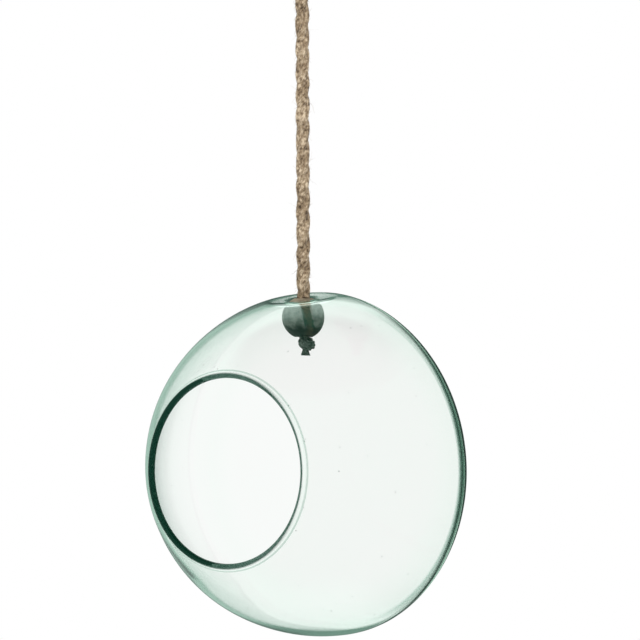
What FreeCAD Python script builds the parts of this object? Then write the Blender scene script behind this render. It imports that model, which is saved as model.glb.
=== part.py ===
import FreeCAD, Part
import math
import os
import Sketcher

# Hanging glass ball vase: a blown ball with a wide mouth at the front (-Y) and a flattened back,
# hung by a rope that passes a small hole at the top and is stopped inside by a wooden ball bead.
# Millimetres, +Z up. The origin is where a hook bears in the hanging loop.

doc = FreeCAD.newDocument("hanging_ball_vase")

# Driving dimensions
sizeList = [
    ("ball_radius", 110.0, "widest circle of the glass, outside"),
    ("side_radius", 120.0, "arc of the side wall in a plane through the mouth's axis"),
    ("corner_radius", 12.0, "turn from the side wall into the flattened back"),
    ("wall", 3.2, "thickness of the glass"),
    ("mouth_radius", 59.6, "from the mouth's axis to the middle of the lip"),
    ("lip_diameter", 4.4, "fire-rounded lip"),
    ("hole_angle", 9.9, "degrees from the widest circle to the rope hole, towards the mouth"),
    ("hole_diameter", 19.6, "rope hole"),
    ("hole_rounding", 1.2, "melted edges of the rope hole"),
    ("dimple_depth", 2.9, "sinking of the glass round the rope hole"),
    ("dimple_radius", 190.0, "hollow of that dimple"),
    ("bead_diameter", 27.0, "wooden ball"),
    ("bead_height", 24.6, "between the small flats at the ends of its bore"),
    ("bore_diameter", 7.2, "bore of the wooden ball"),
    ("bore_rounding", 0.6, "worn edges of that bore"),
    ("seat_gap", 0.25, "play between the bead and the rim of the hole"),
    ("rope_diameter", 8.0, "laid jute rope"),
    ("rope_length", 200.7, "straight rope from the bead up to the loop's knot"),
    ("bore_play", 0.4, "play of the thinned rope end in the bore, on the radius"),
    ("knot_diameter", 11.4, "stopper knot under the bead"),
    ("knot_height", 8.2, "stopper knot under the bead"),
    ("tail_diameter", 5.4, "frayed tail where it leaves the stopper knot"),
    ("tail_flare", 0.8, "how much wider the frayed tail ends, on the radius"),
    ("tail_length", 3.9, "frayed tail"),
    ("wraps_height", 26.0, "wraps of the knot that closes the hanging loop"),
    ("wraps_rounding", 5.0, "outer edges of those wraps"),
]
sizes = doc.addObject("Spreadsheet::Sheet", "sizes")
for row, (alias, value, note) in enumerate(sizeList, start=1):
    sizes.set(f"A{row}", alias)
    sizes.set(f"B{row}", str(value))
    sizes.set(f"C{row}", note)
    sizes.setAlias(f"B{row}", alias)
doc.recompute()

# Middle line of the rope in the hanging loop, right half from the knot up, as x and z in the
# plane Y=0; the left half mirrors it
eyeRoute = [(4.2, -88.5), (4.2, -66.0), (30.8, -30.5), (24.2, -4.6), (0.0, 6.7)]


def size(alias):
    return float(sizes.get(alias))


def newBody(label):
    body = doc.addObject("PartDesign::Body", label)
    body.Label = label
    return body


def newSketch(body, name, role):
    sketch = body.newObject("Sketcher::SketchObject", name)
    plane = next(item for item in body.Origin.OriginFeatures if item.Role == role)
    sketch.AttachmentSupport = [(plane, "")]
    sketch.MapMode = "FlatFace"
    return sketch


def point(u, v):
    return FreeCAD.Vector(u, v, 0)


def line(start, end):
    return Part.LineSegment(start, end)


def arc(centre, radius, start, end):
    # Counterclockwise between two angles in degrees
    circle = Part.Circle(centre, FreeCAD.Vector(0, 0, 1), radius)
    return Part.ArcOfCircle(circle, math.radians(start), math.radians(end))


def closedWire(sketch, shapes):
    # Adds the shapes in order and joins each to the next where their ends meet
    wire = [sketch.addGeometry(shape, False) for shape in shapes]
    used = set()
    for first, second in zip(wire, wire[1:] + wire[:1]):
        pairs = [((first, i), (second, j)) for i in (1, 2) for j in (1, 2)]
        for near, far in pairs:
            gap = (sketch.getPoint(*near) - sketch.getPoint(*far)).Length
            if gap < 1e-6 and near not in used and far not in used:
                sketch.addConstraint(Sketcher.Constraint("Coincident", *near, *far))
                used.update((near, far))
                break
    return wire


def hold(sketch, kind, *items):
    sketch.addConstraint(Sketcher.Constraint(kind, *items))


def bind(sketch, kind, items, value, expression):
    # A measured constraint that follows the sheet; value is its starting size
    index = sketch.addConstraint(Sketcher.Constraint(kind, *items, value))
    sketch.setExpression(f"Constraints[{index}]", expression)


def revolve(body, kind, name, sketch, axis):
    feature = body.newObject("PartDesign::" + kind, name)
    feature.Profile = sketch
    feature.ReferenceAxis = (sketch, [axis])
    feature.Angle = 360
    doc.recompute()
    return feature


def roundEdges(body, name, base, radius, expression):
    # Rounds the two rims of a bore of a given radius
    edges = []
    for face in base.Shape.Faces:
        if isinstance(face.Surface, Part.Cylinder) and abs(face.Surface.Radius - radius) < 1e-6:
            rims = [edge for edge in face.Edges if edge.Closed]
            edges += [
                f"Edge{index}" for index, edge in enumerate(base.Shape.Edges, start=1)
                if any(edge.isSame(rim) for rim in rims)
            ]
    feature = body.newObject("PartDesign::Fillet", name)
    feature.Base = (base, edges)
    feature.setExpression("Radius", expression)
    doc.recompute()


def place(item, base):
    for axis, expression in zip("xyz", base):
        item.setExpression(f"Placement.Base.{axis}", expression)


# Glass ball. Its sketches lie in the plane X=0, with u to the back (+Y) and v up. The mouth's
# axis is the horizontal axis and the widest circle lies on the vertical one. The side wall is an
# arc whose centre lies on the vertical axis, a little past the mouth's axis.
ballRadius = size("ball_radius")
sideRadius = size("side_radius")
cornerRadius = size("corner_radius")
wall = size("wall")
mouthRadius = size("mouth_radius")
sideCentre = point(0, ballRadius - sideRadius)
middleRadius = sideRadius - wall / 2
lipAngle = 180 - math.degrees(math.asin((mouthRadius - sideCentre.y) / middleRadius))
lipReach = (
    "sqrt((sizes.side_radius - sizes.wall / 2)^2"
    " - (sizes.mouth_radius + sizes.side_radius - sizes.ball_radius)^2)"
)


def polar(centre, radius, angle):
    turned = math.radians(angle)
    return centre + point(radius * math.cos(turned), radius * math.sin(turned))


def blownWall(body):
    sketch = newSketch(body, "wall_section", "YZ_Plane")
    inside = cornerRadius - wall
    cornerCentre = point(0, ballRadius - cornerRadius)
    wire = closedWire(sketch, [
        line(point(cornerRadius, 0), point(cornerRadius, cornerCentre.y)),
        arc(cornerCentre, cornerRadius, 0, 90),
        arc(sideCentre, sideRadius, 90, lipAngle),
        line(polar(sideCentre, sideRadius, lipAngle), polar(sideCentre, sideRadius - wall, lipAngle)),
        arc(sideCentre, sideRadius - wall, 90, lipAngle),
        arc(cornerCentre, inside, 0, 90),
        line(point(inside, cornerCentre.y), point(inside, 0)),
        line(point(inside, 0), point(cornerRadius, 0)),
    ])
    back, corner, side, mouth, innerSide, innerCorner, innerBack, axis = wire
    hold(sketch, "Vertical", back)
    hold(sketch, "Vertical", innerBack)
    hold(sketch, "PointOnObject", axis, 1, -1)
    hold(sketch, "PointOnObject", axis, 2, -1)
    for centred in (side, corner):
        hold(sketch, "PointOnObject", centred, 3, -2)
    hold(sketch, "Coincident", side, 3, innerSide, 3)
    hold(sketch, "Coincident", corner, 3, innerCorner, 3)
    hold(sketch, "PointOnObject", side, 1, -2)
    hold(sketch, "PointOnObject", innerSide, 1, -2)
    hold(sketch, "Horizontal", corner, 3, corner, 1)
    hold(sketch, "Horizontal", innerCorner, 3, innerCorner, 1)
    hold(sketch, "PointOnObject", side, 3, mouth)
    bind(sketch, "Radius", (side,), sideRadius, "sizes.side_radius")
    bind(sketch, "Radius", (innerSide,), sideRadius - wall, "sizes.side_radius - sizes.wall")
    bind(sketch, "Radius", (corner,), cornerRadius, "sizes.corner_radius")
    bind(sketch, "DistanceY", (-1, 1, side, 1), ballRadius, "sizes.ball_radius")
    lip = sketch.addGeometry(Part.Point(polar(sideCentre, middleRadius, lipAngle)), True)
    hold(sketch, "Symmetric", mouth, 1, mouth, 2, lip, 1)
    bind(sketch, "DistanceY", (-1, 1, lip, 1), mouthRadius, "sizes.mouth_radius")
    revolve(body, "Revolution", "blown_wall", sketch, "H_Axis")


def roundedLip(body):
    sketch = newSketch(body, "lip_section", "YZ_Plane")
    centre = polar(sideCentre, middleRadius, lipAngle)
    radius = size("lip_diameter") / 2
    circle = sketch.addGeometry(Part.Circle(centre, FreeCAD.Vector(0, 0, 1), radius), False)
    bind(sketch, "Radius", (circle,), radius, "sizes.lip_diameter / 2")
    bind(sketch, "DistanceY", (-1, 1, circle, 3), centre.y, "sizes.mouth_radius")
    bind(sketch, "DistanceX", (circle, 3, -1, 1), -centre.x, lipReach)
    revolve(body, "Revolution", "rounded_lip", sketch, "H_Axis")


# The dimple and the rope hole are turned about the line from the side arc's centre that meets
# the wall squarely at the hole. The dimple is hollowed by a large ball centred on that line.
holeAngle = 90 + size("hole_angle")
dimpleDepth = size("dimple_depth")
dimpleRadius = size("dimple_radius")
dimpleReach = sideRadius - dimpleDepth + dimpleRadius
dimpleCentre = polar(sideCentre, dimpleReach, holeAngle)


def holeSketch(body, name):
    # A sketch whose first construction line is the hole's axis, up to the dimple's centre
    sketch = newSketch(body, name, "YZ_Plane")
    axis = sketch.addGeometry(line(sideCentre, dimpleCentre), True)
    hold(sketch, "PointOnObject", axis, 1, -2)
    bind(sketch, "DistanceY", (axis, 1, -1, 1), -sideCentre.y, "sizes.side_radius - sizes.ball_radius")
    bind(sketch, "Distance", (axis,), dimpleReach,
         "sizes.side_radius - sizes.dimple_depth + sizes.dimple_radius")
    bind(sketch, "Angle", (-2, 1, axis, 1), math.radians(size("hole_angle")), "sizes.hole_angle * 1 deg")
    return sketch, axis


def beside(reach, aside):
    # A point at a reach along the hole's axis and a step aside from it, towards the back
    return polar(polar(sideCentre, reach, holeAngle), aside, holeAngle - 90)


def dimpleBacking(body):
    # Glass pushed inwards under the dimple, so that the wall keeps its thickness there
    sketch, axis = holeSketch(body, "backing_section")
    lower = dimpleRadius + wall
    along = (dimpleReach ** 2 + middleRadius ** 2 - lower ** 2) / (2 * dimpleReach)
    spread = math.degrees(math.acos(along / middleRadius))
    swing = math.degrees(math.asin(middleRadius * math.sin(math.radians(spread)) / lower))
    wire = closedWire(sketch, [
        line(beside(dimpleReach - lower, 0), beside(middleRadius, 0)),
        arc(sideCentre, middleRadius, holeAngle - spread, holeAngle),
        arc(dimpleCentre, lower, holeAngle + 180, holeAngle + 180 + swing),
    ])
    middle, top, bottom = wire
    hold(sketch, "PointOnObject", middle, 1, axis)
    hold(sketch, "PointOnObject", middle, 2, axis)
    hold(sketch, "Coincident", top, 3, axis, 1)
    hold(sketch, "Coincident", bottom, 3, axis, 2)
    bind(sketch, "Radius", (top,), middleRadius, "sizes.side_radius - sizes.wall / 2")
    bind(sketch, "Radius", (bottom,), lower, "sizes.dimple_radius + sizes.wall")
    revolve(body, "Revolution", "dimple_backing", sketch, "Axis0")


def dimpleHollow(body):
    sketch, axis = holeSketch(body, "dimple_section")
    rise = dimpleDepth + wall
    aside = math.sqrt(dimpleRadius ** 2 - (dimpleRadius - rise) ** 2)
    swing = math.degrees(math.asin(aside / dimpleRadius))
    bottom = dimpleReach - dimpleRadius
    wire = closedWire(sketch, [
        line(beside(bottom, 0), beside(bottom + rise, 0)),
        line(beside(bottom + rise, 0), beside(bottom + rise, aside)),
        arc(dimpleCentre, dimpleRadius, holeAngle + 180, holeAngle + 180 + swing),
    ])
    middle, lid, bowl = wire
    hold(sketch, "PointOnObject", middle, 1, axis)
    hold(sketch, "PointOnObject", middle, 2, axis)
    hold(sketch, "Perpendicular", middle, lid)
    hold(sketch, "Coincident", bowl, 3, axis, 2)
    bind(sketch, "Radius", (bowl,), dimpleRadius, "sizes.dimple_radius")
    bind(sketch, "Distance", (middle,), rise, "sizes.dimple_depth + sizes.wall")
    return revolve(body, "Groove", "dimple", sketch, "Axis0")


def ropeHole(body):
    sketch, axis = holeSketch(body, "hole_section")
    radius = size("hole_diameter") / 2
    low = sideRadius - dimpleDepth - 2 * wall
    high = sideRadius + wall
    wire = closedWire(sketch, [
        line(beside(low, 0), beside(high, 0)),
        line(beside(high, 0), beside(high, radius)),
        line(beside(high, radius), beside(low, radius)),
        line(beside(low, radius), beside(low, 0)),
    ])
    middle, lid, wallLine, floor = wire
    hold(sketch, "PointOnObject", middle, 1, axis)
    hold(sketch, "PointOnObject", middle, 2, axis)
    hold(sketch, "Perpendicular", middle, lid)
    hold(sketch, "Perpendicular", lid, wallLine)
    hold(sketch, "Perpendicular", wallLine, floor)
    bind(sketch, "Distance", (lid,), radius, "sizes.hole_diameter / 2")
    bind(sketch, "Distance", (axis, 1, middle, 1), low,
         "sizes.side_radius - sizes.dimple_depth - 2 * sizes.wall")
    bind(sketch, "Distance", (middle,), high - low, "sizes.dimple_depth + 3 * sizes.wall")
    hole = revolve(body, "Groove", "rope_hole", sketch, "Axis0")
    roundEdges(body, "melted_rim", hole, radius, "sizes.hole_rounding")


glass = newBody("glass_ball")
blownWall(glass)
roundedLip(glass)
dimpleBacking(glass)
dimpleHollow(glass)
ropeHole(glass)

# Wooden ball bead, turned about its upright bore, with a small flat at each end of the bore. Its
# origin is the ball's centre.
beadRadius = size("bead_diameter") / 2
boreRadius = size("bore_diameter") / 2
boreHalf = size("bead_height") / 2
halfBore = "sizes.bead_height / 2"


def turnedBead(body):
    sketch = newSketch(body, "bead_section", "XZ_Plane")
    flat = math.sqrt(beadRadius ** 2 - boreHalf ** 2)
    swing = math.degrees(math.asin(boreHalf / beadRadius))
    wire = closedWire(sketch, [
        arc(point(0, 0), beadRadius, -swing, swing),
        line(point(flat, boreHalf), point(boreRadius, boreHalf)),
        line(point(boreRadius, boreHalf), point(boreRadius, -boreHalf)),
        line(point(boreRadius, -boreHalf), point(flat, -boreHalf)),
    ])
    outside, top, bore, bottom = wire
    hold(sketch, "Coincident", outside, 3, -1, 1)
    hold(sketch, "Horizontal", top)
    hold(sketch, "Vertical", bore)
    hold(sketch, "Horizontal", bottom)
    bind(sketch, "Radius", (outside,), beadRadius, "sizes.bead_diameter / 2")
    bind(sketch, "DistanceX", (-1, 1, bore, 1), boreRadius, "sizes.bore_diameter / 2")
    bind(sketch, "DistanceY", (-1, 1, bore, 1), boreHalf, halfBore)
    bind(sketch, "DistanceY", (bore, 2, -1, 1), boreHalf, halfBore)
    ball = revolve(body, "Revolution", "turned_ball", sketch, "V_Axis")
    roundEdges(body, "worn_bore_edges", ball, boreRadius, "sizes.bore_rounding")


bead = newBody("stopper_bead")
turnedBead(bead)


def knottedEnd(body):
    # The rope's thinned end: a neck that fills the bead's bore and meets the thick rope on top of
    # the bead, a round knot under the bead and a frayed tail. The origin is the bead's centre.
    sketch = newSketch(body, "knot_section", "XZ_Plane")
    neck = boreRadius - size("bore_play")
    knot = size("knot_diameter") / 2
    half = size("knot_height") / 2
    shoulder = math.sqrt(knot ** 2 - half ** 2)
    swing = math.degrees(math.asin(half / knot))
    tail = size("tail_diameter") / 2
    end = tail + size("tail_flare")
    middle = -boreHalf - half
    low = middle - half
    foot = low - size("tail_length")
    wire = closedWire(sketch, [
        line(point(0, boreHalf), point(neck, boreHalf)),
        line(point(neck, boreHalf), point(neck, -boreHalf)),
        line(point(neck, -boreHalf), point(shoulder, -boreHalf)),
        arc(point(0, middle), knot, -swing, swing),
        line(point(shoulder, low), point(tail, low)),
        line(point(tail, low), point(end, foot)),
        line(point(end, foot), point(0, foot)),
        line(point(0, foot), point(0, boreHalf)),
    ])
    top, neckLine, upper, knotArc, lower, tailLine, footLine, axis = wire
    for level in (top, upper, lower, footLine):
        hold(sketch, "Horizontal", level)
    hold(sketch, "Vertical", neckLine)
    hold(sketch, "PointOnObject", knotArc, 3, -2)
    hold(sketch, "PointOnObject", axis, 1, -2)
    hold(sketch, "PointOnObject", axis, 2, -2)
    bind(sketch, "DistanceY", (-1, 1, top, 1), boreHalf, halfBore)
    bind(sketch, "DistanceX", (-1, 1, neckLine, 1), neck, "sizes.bore_diameter / 2 - sizes.bore_play")
    bind(sketch, "DistanceY", (upper, 1, -1, 1), boreHalf, halfBore)
    bind(sketch, "Radius", (knotArc,), knot, "sizes.knot_diameter / 2")
    bind(sketch, "DistanceY", (knotArc, 3, -1, 1), -middle, halfBore + " + sizes.knot_height / 2")
    bind(sketch, "DistanceY", (tailLine, 1, -1, 1), -low, halfBore + " + sizes.knot_height")
    bind(sketch, "DistanceX", (-1, 1, tailLine, 1), tail, "sizes.tail_diameter / 2")
    bind(sketch, "DistanceX", (-1, 1, tailLine, 2), end, "sizes.tail_diameter / 2 + sizes.tail_flare")
    bind(sketch, "DistanceY", (tailLine, 2, tailLine, 1), low - foot, "sizes.tail_length")
    revolve(body, "Revolution", "knotted_end", sketch, "V_Axis")


stopper = newBody("stopper_knot")
knottedEnd(stopper)

# Straight rope from the top of the bead to the knot that closes the hanging loop
rope = doc.addObject("Part::Cylinder", "hanging_rope")
rope.Label = "hanging_rope"
rope.setExpression("Radius", "sizes.rope_diameter / 2")
rope.setExpression("Height", "sizes.rope_length")


def wrapsOfKnot(body):
    # Outer shape of the rope's wraps round the two legs of the loop: one rope's width of wraps
    # outside two legs that lie side by side. Its origin is the middle of its foot.
    sketch = newSketch(body, "wraps_section", "XY_Plane")
    ropeDiameter = size("rope_diameter")
    leg = ropeDiameter / 2
    radius = 1.5 * ropeDiameter
    wire = closedWire(sketch, [
        arc(point(leg, 0), radius, -90, 90),
        line(point(leg, radius), point(-leg, radius)),
        arc(point(-leg, 0), radius, 90, 270),
        line(point(-leg, -radius), point(leg, -radius)),
    ])
    right, back, left, front = wire
    hold(sketch, "PointOnObject", right, 3, -1)
    hold(sketch, "PointOnObject", left, 3, -1)
    hold(sketch, "Vertical", right, 3, right, 2)
    hold(sketch, "Vertical", right, 3, right, 1)
    hold(sketch, "Vertical", left, 3, left, 1)
    hold(sketch, "Vertical", left, 3, left, 2)
    hold(sketch, "Horizontal", back)
    bind(sketch, "DistanceX", (-1, 1, right, 3), leg, "sizes.rope_diameter / 2")
    bind(sketch, "DistanceX", (left, 3, -1, 1), leg, "sizes.rope_diameter / 2")
    bind(sketch, "Radius", (right,), radius, "1.5 * sizes.rope_diameter")
    pad = body.newObject("PartDesign::Pad", "wraps")
    pad.Profile = sketch
    pad.setExpression("Length", "sizes.wraps_height")
    doc.recompute()
    levels = (0.0, size("wraps_height"))
    edges = [
        f"Edge{index}" for index, edge in enumerate(pad.Shape.Edges, start=1)
        if any(abs(edge.BoundBox.ZMin - level) + abs(edge.BoundBox.ZMax - level) < 1e-6 for level in levels)
    ]
    feature = body.newObject("PartDesign::Fillet", "rounded_wraps")
    feature.Base = (pad, edges)
    feature.setExpression("Radius", "sizes.wraps_rounding")
    doc.recompute()


wraps = newBody("loop_knot")
wrapsOfKnot(wraps)


def ropePath(route):
    # Straight runs joined by tangent arcs, each as wide as 0.45 of its shorter run allows
    edges = []
    here = route[0]
    for before, corner, after in zip(route, route[1:], route[2:]):
        arrive = corner - before
        leave = after - corner
        half = arrive.getAngle(leave) / 2
        step = 0.45 * min(arrive.Length, leave.Length)
        arrive.normalize()
        leave.normalize()
        radius = step / math.tan(half)
        print(f"hanging loop: turn {math.degrees(2 * half):.0f} degrees, radius {radius:.1f} mm")
        start = corner - arrive * step
        end = corner + leave * step
        inward = leave - arrive
        inward.normalize()
        middle = corner + inward * (radius / math.cos(half) - radius)
        edges.append(Part.LineSegment(here, start).toShape())
        edges.append(Part.Arc(start, middle, end).toShape())
        here = end
    edges.append(Part.LineSegment(here, route[-1]).toShape())
    return Part.Wire(edges)


def tube(path, start, direction, diameter):
    ring = Part.Wire(Part.Circle(start, direction, diameter / 2).toShape())
    return path.makePipeShell([ring], True, True)


rightHalf = [FreeCAD.Vector(x, 0, z) for x, z in eyeRoute]
leftHalf = [FreeCAD.Vector(-x, 0, z) for x, z in reversed(eyeRoute[:-1])]
eyePath = ropePath(rightHalf + leftHalf)
eye = doc.addObject("Part::Feature", "rope_eye")
eye.Label = "rope_eye"
eye.Shape = tube(eyePath, rightHalf[0], FreeCAD.Vector(0, 0, 1), size("rope_diameter"))
eye.Placement = FreeCAD.Placement()
section = math.pi * size("rope_diameter") ** 2 / 4
print(f"hanging loop: volume over section times length {eye.Shape.Volume / (section * eyePath.Length):.4f}")

# Places, from the hanging loop down: the knot ends under the loop's legs, the rope hangs from the
# knot, the bead hangs on the rope's lower end and the glass hangs on the bead. The rim of the hole
# is a ring of its rounding's radius; the bead's centre lies on the hole's axis so far below that
# ring that the ball clears it by the seat's gap.
kneeHeight = -eyeRoute[0][1]
wrapsFoot = f"-{kneeHeight} - sizes.wraps_height"
ropeFoot = wrapsFoot + " - sizes.rope_length"
beadHeight = ropeFoot + " - " + halfBore
rimHeight = (
    "(sizes.side_radius - sizes.dimple_depth + sizes.dimple_radius"
    " - sqrt((sizes.dimple_radius + sizes.wall - sizes.hole_rounding)^2"
    " - (sizes.hole_diameter / 2 + sizes.hole_rounding)^2))"
)
beadReach = (
    f"({rimHeight} - sqrt((sizes.bead_diameter / 2 + sizes.hole_rounding + sizes.seat_gap)^2"
    " - (sizes.hole_diameter / 2 + sizes.hole_rounding)^2))"
)
place(wraps, ("0", "0", wrapsFoot))
place(rope, ("0", "0", ropeFoot))
place(bead, ("0", "0", beadHeight))
place(stopper, ("0", "0", beadHeight))
place(glass, (
    "0",
    f"{beadReach} * sin(sizes.hole_angle)",
    f"{beadHeight} - {beadReach} * cos(sizes.hole_angle) - sizes.ball_radius + sizes.side_radius",
))
doc.recompute()

# Check and write
parts = [glass, bead, stopper, rope, wraps, eye]
for item in doc.Objects:
    bad = [state for state in item.State if state in ("Invalid", "Error")]
    if bad:
        raise RuntimeError(f"{item.Name} is {bad}")
for item in parts:
    if item.Shape.isNull() or not item.Shape.isValid():
        raise RuntimeError(f"{item.Label} has no valid shape")
os.makedirs("parts", exist_ok=True)
for item in parts:
    item.Shape.exportStep(f"parts/{item.Label}.step")
    box = item.Shape.BoundBox
    print(item.Label, len(item.Shape.Solids), f"{item.Shape.Volume:.0f}", [
        round(value, 2) for value in (box.XMin, box.XMax, box.YMin, box.YMax, box.ZMin, box.ZMax)])
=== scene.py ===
import math

import bpy
import numpy as np
from mathutils import Matrix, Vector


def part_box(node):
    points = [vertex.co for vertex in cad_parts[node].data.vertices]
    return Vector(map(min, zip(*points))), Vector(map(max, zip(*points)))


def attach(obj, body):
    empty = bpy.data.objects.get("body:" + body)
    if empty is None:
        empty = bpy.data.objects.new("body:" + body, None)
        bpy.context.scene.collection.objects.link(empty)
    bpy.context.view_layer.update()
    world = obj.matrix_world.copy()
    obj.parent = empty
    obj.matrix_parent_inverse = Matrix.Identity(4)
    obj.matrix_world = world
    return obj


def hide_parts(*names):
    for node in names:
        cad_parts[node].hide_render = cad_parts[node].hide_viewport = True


# Hanging glass ball vase, dressed for rendering: a blown green glass ball on a jute rope, held by
# a wooden bead inside it. Metres throughout, in the frame of the CAD model.

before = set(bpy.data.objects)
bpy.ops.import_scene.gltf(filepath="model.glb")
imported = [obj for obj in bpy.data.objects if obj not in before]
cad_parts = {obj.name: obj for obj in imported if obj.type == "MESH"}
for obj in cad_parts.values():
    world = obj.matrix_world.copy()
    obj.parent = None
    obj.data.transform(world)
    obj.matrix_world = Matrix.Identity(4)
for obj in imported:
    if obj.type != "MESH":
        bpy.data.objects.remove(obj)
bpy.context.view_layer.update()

scene = bpy.context.scene
rng = np.random.default_rng(7)


def nodeBox(node):
    # Low and high corner of a CAD node's box
    low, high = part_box(node)
    return np.array(low), np.array(high)


ballLow, ballHigh = nodeBox("glass_ball")
beadLow, beadHigh = nodeBox("stopper_bead")
tailLow = nodeBox("stopper_knot")[0][2]


# Shader helper: a wrapped socket, so that an expression on values adds its own Math nodes

class Value:
    def __init__(self, shader, socket):
        self.shader = shader
        self.socket = socket

    def combine(self, operation, *others):
        return self.shader.add("Math", {"operation": operation}, dict(enumerate((self, *others))))

    def __add__(self, other):
        return self.combine("ADD", other)

    def __sub__(self, other):
        return self.combine("SUBTRACT", other)

    def __mul__(self, other):
        return self.combine("MULTIPLY", other)

    def __pow__(self, other):
        return self.combine("POWER", other)

    def __rmul__(self, other):
        return self * other

    def __rsub__(self, other):
        return self.shader.add("Math", {"operation": "SUBTRACT"}, {0: other, 1: self})

    def absolute(self):
        return self.combine("ABSOLUTE")

    def clamp(self):
        return self.shader.add("Math", {"operation": "ADD", "use_clamp": True}, {0: self, 1: 0.0})

    def ramp(self, low, high):
        # Goes smoothly from 0 to 1 as the value goes from low to high
        return self.shader.add("MapRange", {"interpolation_type": "SMOOTHSTEP"},
                               {"Value": self, "From Min": low, "From Max": high})


class Shader:
    def __init__(self, name, world=False):
        self.block = bpy.data.worlds.new(name) if world else bpy.data.materials.new(name)
        self.block.use_nodes = True
        self.tree = self.block.node_tree
        self.tree.nodes.clear()

    def node(self, kind, settings=None, inputs=None):
        node = self.tree.nodes.new("ShaderNode" + kind)
        for key, value in (settings or {}).items():
            setattr(node, key, value)
        for key, value in (inputs or {}).items():
            if isinstance(value, Value):
                value = value.socket
            if isinstance(value, bpy.types.NodeSocket):
                self.tree.links.new(value, node.inputs[key])
            else:
                node.inputs[key].default_value = value
        return node

    def add(self, kind, settings=None, inputs=None, output=0):
        return Value(self, self.node(kind, settings, inputs).outputs[output])

    def mix(self, factor, first, second):
        # Mixes two colours
        return self.add("Mix", {"data_type": "RGBA"}, {0: factor, 6: first, 7: second}, output=2)

    def coordinates(self, kind):
        return self.node("TexCoord").outputs[kind]

    def part(self, place, number):
        # One of the three parts of a vector
        return self.add("SeparateXYZ", inputs={0: place}, output=number)

    def reach(self, place, direction):
        # How far a place lies along a direction
        return self.add("VectorMath", {"operation": "DOT_PRODUCT"},
                        {0: place, 1: tuple(direction)}, output=1)

    def noise(self, place, scale, detail, distortion=0.0):
        return self.add("TexNoise", inputs={
            "Vector": place, "Scale": scale, "Detail": detail, "Distortion": distortion})

    def stretched(self, place, scale):
        return self.add("Mapping", inputs={"Vector": place, "Scale": scale})

    def bump(self, height, strength, distance):
        return self.add("Bump", inputs={
            "Height": height, "Strength": strength, "Distance": distance})

    def finish(self, inputs, volume=None):
        # The surface of a material and, for glass, what fills it
        outputs = {"Surface": self.add("BsdfPrincipled", inputs=inputs)}
        if volume:
            outputs["Volume"] = volume
        self.node("OutputMaterial", inputs=outputs)


def colour(*rgb):
    return (*rgb, 1.0)


# Camera, at the photograph's angle. Its frame is 640 x 640.
view = {
    "azimuth": 36.8,  # degrees round the ball from its mouth's side, to the right
    "elevation": 3.3,  # of the camera seen from the ball's centre
    "distance": 2.13,  # from the ball's centre
    "across": 0.4098,  # width of the view at the ball's centre
    "aimUp": 0.0919,  # the view's middle above the ball's centre
    "aimRight": -0.00035,  # and beside it
    "roll": 0.22,  # the rope's top leans left
    "nearest": 0.05,  # what the camera shows, from here
    "farthest": 50.0,  # to here
}
cornerRadius = 0.012  # of the glass, between its side and its flattened back
ballRadius = (ballHigh[0] - ballLow[0]) / 2
ballCentre = np.array([0.0, ballHigh[1] - cornerRadius, ballLow[2] + ballRadius])
upAxis = np.array([0.0, 0.0, 1.0])


def lookingFrom(place, aim):
    # Directions aside, up and back of a thing that looks from a place at an aim
    toward = (place - aim) / np.linalg.norm(place - aim)
    side = np.cross(upAxis, toward)
    side /= np.linalg.norm(side)
    return side, np.cross(toward, side), toward


def addTurned(thing, place, directions):
    # Puts a camera or a lamp at its place, turned to its directions aside, up and back
    matrix = np.eye(4)
    matrix[:3] = np.column_stack([*directions, place])
    thing.matrix_world = Matrix(matrix.tolist())
    scene.collection.objects.link(thing)


def makeCamera():
    azimuth, elevation = math.radians(view["azimuth"]), math.radians(view["elevation"])
    right = np.array([math.cos(azimuth), math.sin(azimuth), 0.0])
    back = np.array([right[1] * math.cos(elevation), -right[0] * math.cos(elevation), math.sin(elevation)])
    place = ballCentre + view["distance"] * back
    side, upward, toward = lookingFrom(place, ballCentre + view["aimUp"] * upAxis + view["aimRight"] * right)
    turn = math.radians(view["roll"])
    rolledSide = math.cos(turn) * side - math.sin(turn) * upward
    rolledUp = math.sin(turn) * side + math.cos(turn) * upward
    data = bpy.data.cameras.new("photoCamera")
    data.lens = data.sensor_width * view["distance"] / view["across"]
    data.clip_start, data.clip_end = view["nearest"], view["farthest"]
    camera = bpy.data.objects.new("photoCamera", data)
    addTurned(camera, place, (rolledSide, rolledUp, toward))
    scene.camera = camera


makeCamera()
print("camera placed")


# Mesh helpers

def newMesh(name, material, points, faces, uv=None):
    # faces is a list of whole arrays of corner numbers, one array for each count of corners
    corners = np.concatenate([block.ravel() for block in faces]).astype(np.int32)
    counts = np.concatenate([np.full(len(block), block.shape[1]) for block in faces])
    starts = np.concatenate([[0], np.cumsum(counts)[:-1]]).astype(np.int32)
    mesh = bpy.data.meshes.new(name)
    mesh.vertices.add(len(points))
    mesh.vertices.foreach_set("co", np.asarray(points, np.float32).ravel())
    mesh.loops.add(len(corners))
    mesh.loops.foreach_set("vertex_index", corners)
    mesh.polygons.add(len(counts))
    mesh.polygons.foreach_set("loop_start", starts)
    mesh.polygons.foreach_set("use_smooth", np.full(len(counts), True))
    mesh.update(calc_edges=True)
    mesh.validate()
    if uv is not None:
        layer = mesh.uv_layers.new(name="UVMap")
        layer.data.foreach_set("uv", np.asarray(uv, np.float32)[corners].ravel())
    mesh.materials.append(material)
    piece = bpy.data.objects.new(name, mesh)
    scene.collection.objects.link(piece)
    return piece


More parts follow.
